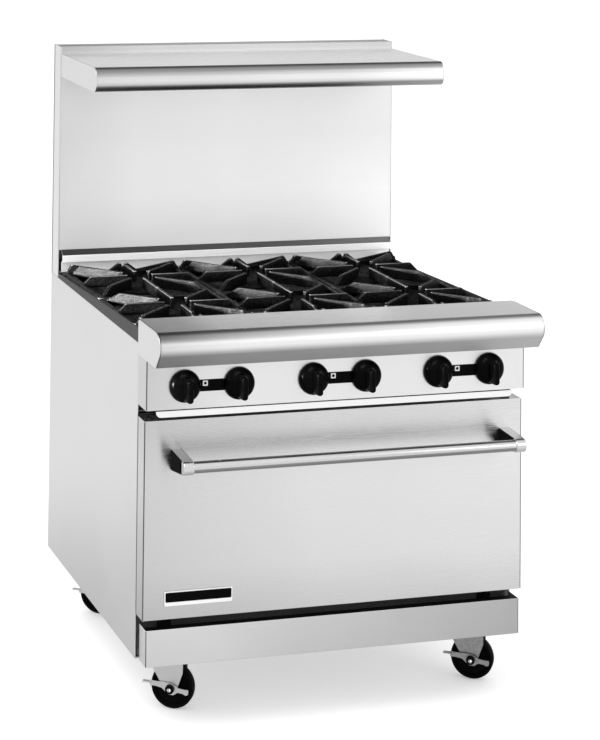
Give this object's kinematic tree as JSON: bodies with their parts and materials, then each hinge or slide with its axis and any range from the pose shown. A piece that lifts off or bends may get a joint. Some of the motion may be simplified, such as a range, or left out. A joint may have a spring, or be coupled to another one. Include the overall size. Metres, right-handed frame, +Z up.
{
  "type": "commercial gas range",
  "caption": "Stainless gas range: open burners with cast grates over an oven with a drop-down door, bullnose front rail, crumb tray, backguard with high shelf, braked swivel casters.",
  "frame": {"origin": "on the floor, at the centre of the overall bounding box seen from above", "axes": "+Z up, +X to the right when facing the front, front faces -Y"},
  "size_m": [0.919, 0.9249, 1.435],
  "materials": {
    "stainless_steel": "brushed number 4, satin",
    "polished_steel": "polished, near mirror",
    "aluminised_sheet": "dull mill finish",
    "dark_sheet": "black heat-resistant, satin",
    "oven_enamel": "speckled porcelain enamel, gloss",
    "rack_wire": "bright",
    "hinge_zinc": "zinc plated, satin",
    "badge_metal": "satin, blank",
    "knob_plastic": "gloss black phenolic",
    "grate_iron": "rough sand-cast, black",
    "burner_iron": "rough, unpainted dark",
    "caster_zinc": "zinc plated, bright",
    "caster_tread": "black polyurethane, satin"
  },
  "bodies": {
    "body": {"side_panel_left": "stainless_steel", "side_panel_right": "stainless_steel", "kick_plate": "stainless_steel", "control_panel": "stainless_steel", "front_rail": "stainless_steel", "riser_trim": "stainless_steel", "backguard_panel": "stainless_steel", "high_shelf": "stainless_steel", "rear_panel": "aluminised_sheet", "base_frame": "aluminised_sheet", "backguard_rear_cover": "aluminised_sheet", "flue_riser": "aluminised_sheet", "burner_box": "dark_sheet", "gas_manifold": "dark_sheet", "oven_burner": "dark_sheet", "oven_liner": "oven_enamel", "oven_deck": "oven_enamel", "oven_rack": "rack_wire", "hinge_bracket_left": "hinge_zinc", "hinge_bracket_right": "hinge_zinc", "burner_front_left": "burner_iron", "burner_back_left": "burner_iron", "burner_front_centre": "burner_iron", "burner_back_centre": "burner_iron", "burner_front_right": "burner_iron", "burner_back_right": "burner_iron"},
    "door": {"door_skin": "stainless_steel", "door_liner": "oven_enamel", "handle_tube": "polished_steel", "handle_bracket_left": "polished_steel", "handle_bracket_right": "polished_steel", "badge_plate": "badge_metal", "hinge_pin_left": "hinge_zinc", "hinge_pin_right": "hinge_zinc"},
    "crumb_tray": {"crumb_tray": "stainless_steel"},
    "knob_front_left": {"knob_front_left": "knob_plastic"},
    "knob_back_left": {"knob_back_left": "knob_plastic"},
    "knob_front_centre": {"knob_front_centre": "knob_plastic"},
    "knob_back_centre": {"knob_back_centre": "knob_plastic"},
    "knob_front_right": {"knob_front_right": "knob_plastic"},
    "knob_back_right": {"knob_back_right": "knob_plastic"},
    "grate_front_left": {"grate_front_left": "grate_iron"},
    "grate_back_left": {"grate_back_left": "grate_iron"},
    "grate_front_centre": {"grate_front_centre": "grate_iron"},
    "grate_back_centre": {"grate_back_centre": "grate_iron"},
    "grate_front_right": {"grate_front_right": "grate_iron"},
    "grate_back_right": {"grate_back_right": "grate_iron"},
    "caster_fork_front_left": {"caster_fork_front_left": "caster_zinc"},
    "caster_wheel_front_left": {"caster_wheel_front_left": "caster_tread"},
    "brake_lever_front_left": {"brake_lever_front_left": "caster_zinc"},
    "caster_fork_front_right": {"caster_fork_front_right": "caster_zinc"},
    "caster_wheel_front_right": {"caster_wheel_front_right": "caster_tread"},
    "brake_lever_front_right": {"brake_lever_front_right": "caster_zinc"},
    "caster_fork_rear_left": {"caster_fork_rear_left": "caster_zinc"},
    "caster_wheel_rear_left": {"caster_wheel_rear_left": "caster_tread"},
    "brake_lever_rear_left": {"brake_lever_rear_left": "caster_zinc"},
    "caster_fork_rear_right": {"caster_fork_rear_right": "caster_zinc"},
    "caster_wheel_rear_right": {"caster_wheel_rear_right": "caster_tread"},
    "brake_lever_rear_right": {"brake_lever_rear_right": "caster_zinc"}
  },
  "joints": [
    {"name": "door_hinge", "type": "hinge", "parent": "body", "child": "door", "pos_m": [0, -0.3375, 0.266], "axis": [1, 0, 0], "range_deg": [0, 90]},
    {"name": "crumb_tray_slide", "type": "slide", "parent": "body", "child": "crumb_tray", "axis": [0, -1, 0], "range_m": [0, 0.4]},
    {"name": "knob_front_left_turn", "type": "hinge", "parent": "body", "child": "knob_front_left", "pos_m": [-0.3683, -0.3625, 0.766], "axis": [0, -1, 0], "range_deg": [0, 90]},
    {"name": "knob_back_left_turn", "type": "hinge", "parent": "body", "child": "knob_back_left", "pos_m": [-0.2413, -0.3625, 0.766], "axis": [0, -1, 0], "range_deg": [0, 90]},
    {"name": "knob_front_centre_turn", "type": "hinge", "parent": "body", "child": "knob_front_centre", "pos_m": [-0.0635, -0.3625, 0.766], "axis": [0, -1, 0], "range_deg": [0, 90]},
    {"name": "knob_back_centre_turn", "type": "hinge", "parent": "body", "child": "knob_back_centre", "pos_m": [0.0635, -0.3625, 0.766], "axis": [0, -1, 0], "range_deg": [0, 90]},
    {"name": "knob_front_right_turn", "type": "hinge", "parent": "body", "child": "knob_front_right", "pos_m": [0.2413, -0.3625, 0.766], "axis": [0, -1, 0], "range_deg": [0, 90]},
    {"name": "knob_back_right_turn", "type": "hinge", "parent": "body", "child": "knob_back_right", "pos_m": [0.3683, -0.3625, 0.766], "axis": [0, -1, 0], "range_deg": [0, 90]},
    {"name": "grate_front_left_lift", "type": "slide", "parent": "body", "child": "grate_front_left", "axis": [0, 0, 1], "range_m": [0, 0.15]},
    {"name": "grate_back_left_lift", "type": "slide", "parent": "body", "child": "grate_back_left", "axis": [0, 0, 1], "range_m": [0, 0.15]},
    {"name": "grate_front_centre_lift", "type": "slide", "parent": "body", "child": "grate_front_centre", "axis": [0, 0, 1], "range_m": [0, 0.15]},
    {"name": "grate_back_centre_lift", "type": "slide", "parent": "body", "child": "grate_back_centre", "axis": [0, 0, 1], "range_m": [0, 0.15]},
    {"name": "grate_front_right_lift", "type": "slide", "parent": "body", "child": "grate_front_right", "axis": [0, 0, 1], "range_m": [0, 0.15]},
    {"name": "grate_back_right_lift", "type": "slide", "parent": "body", "child": "grate_back_right", "axis": [0, 0, 1], "range_m": [0, 0.15]},
    {"name": "caster_swivel_front_left", "type": "hinge", "parent": "body", "child": "caster_fork_front_left", "pos_m": [-0.372, -0.1755, 0.15], "axis": [0, 0, 1], "continuous": true},
    {"name": "wheel_roll_front_left", "type": "hinge", "parent": "caster_fork_front_left", "child": "caster_wheel_front_left", "pos_m": [-0.33432, -0.20189, 0.05], "axis": [-0.5736, -0.8192, 0], "continuous": true},
    {"name": "brake_press_front_left", "type": "hinge", "parent": "caster_fork_front_left", "child": "brake_lever_front_left", "pos_m": [-0.33432, -0.20189, 0.05], "axis": [-0.5736, -0.8192, 0], "range_deg": [0, 18]},
    {"name": "caster_swivel_front_right", "type": "hinge", "parent": "body", "child": "caster_fork_front_right", "pos_m": [0.372, -0.1755, 0.15], "axis": [0, 0, 1], "continuous": true},
    {"name": "wheel_roll_front_right", "type": "hinge", "parent": "caster_fork_front_right", "child": "caster_wheel_front_right", "pos_m": [0.40968, -0.20189, 0.05], "axis": [-0.5736, -0.8192, 0], "continuous": true},
    {"name": "brake_press_front_right", "type": "hinge", "parent": "caster_fork_front_right", "child": "brake_lever_front_right", "pos_m": [0.40968, -0.20189, 0.05], "axis": [-0.5736, -0.8192, 0], "range_deg": [0, 18]},
    {"name": "caster_swivel_rear_left", "type": "hinge", "parent": "body", "child": "caster_fork_rear_left", "pos_m": [-0.372, 0.4245, 0.15], "axis": [0, 0, 1], "continuous": true},
    {"name": "wheel_roll_rear_left", "type": "hinge", "parent": "caster_fork_rear_left", "child": "caster_wheel_rear_left", "pos_m": [-0.33432, 0.39811, 0.05], "axis": [-0.5736, -0.8192, 0], "continuous": true},
    {"name": "brake_press_rear_left", "type": "hinge", "parent": "caster_fork_rear_left", "child": "brake_lever_rear_left", "pos_m": [-0.33432, 0.39811, 0.05], "axis": [-0.5736, -0.8192, 0], "range_deg": [0, 18]},
    {"name": "caster_swivel_rear_right", "type": "hinge", "parent": "body", "child": "caster_fork_rear_right", "pos_m": [0.372, 0.4245, 0.15], "axis": [0, 0, 1], "continuous": true},
    {"name": "wheel_roll_rear_right", "type": "hinge", "parent": "caster_fork_rear_right", "child": "caster_wheel_rear_right", "pos_m": [0.40968, 0.39811, 0.05], "axis": [-0.5736, -0.8192, 0], "continuous": true},
    {"name": "brake_press_rear_right", "type": "hinge", "parent": "caster_fork_rear_right", "child": "brake_lever_rear_right", "pos_m": [0.40968, 0.39811, 0.05], "axis": [-0.5736, -0.8192, 0], "range_deg": [0, 18]}
  ]
}
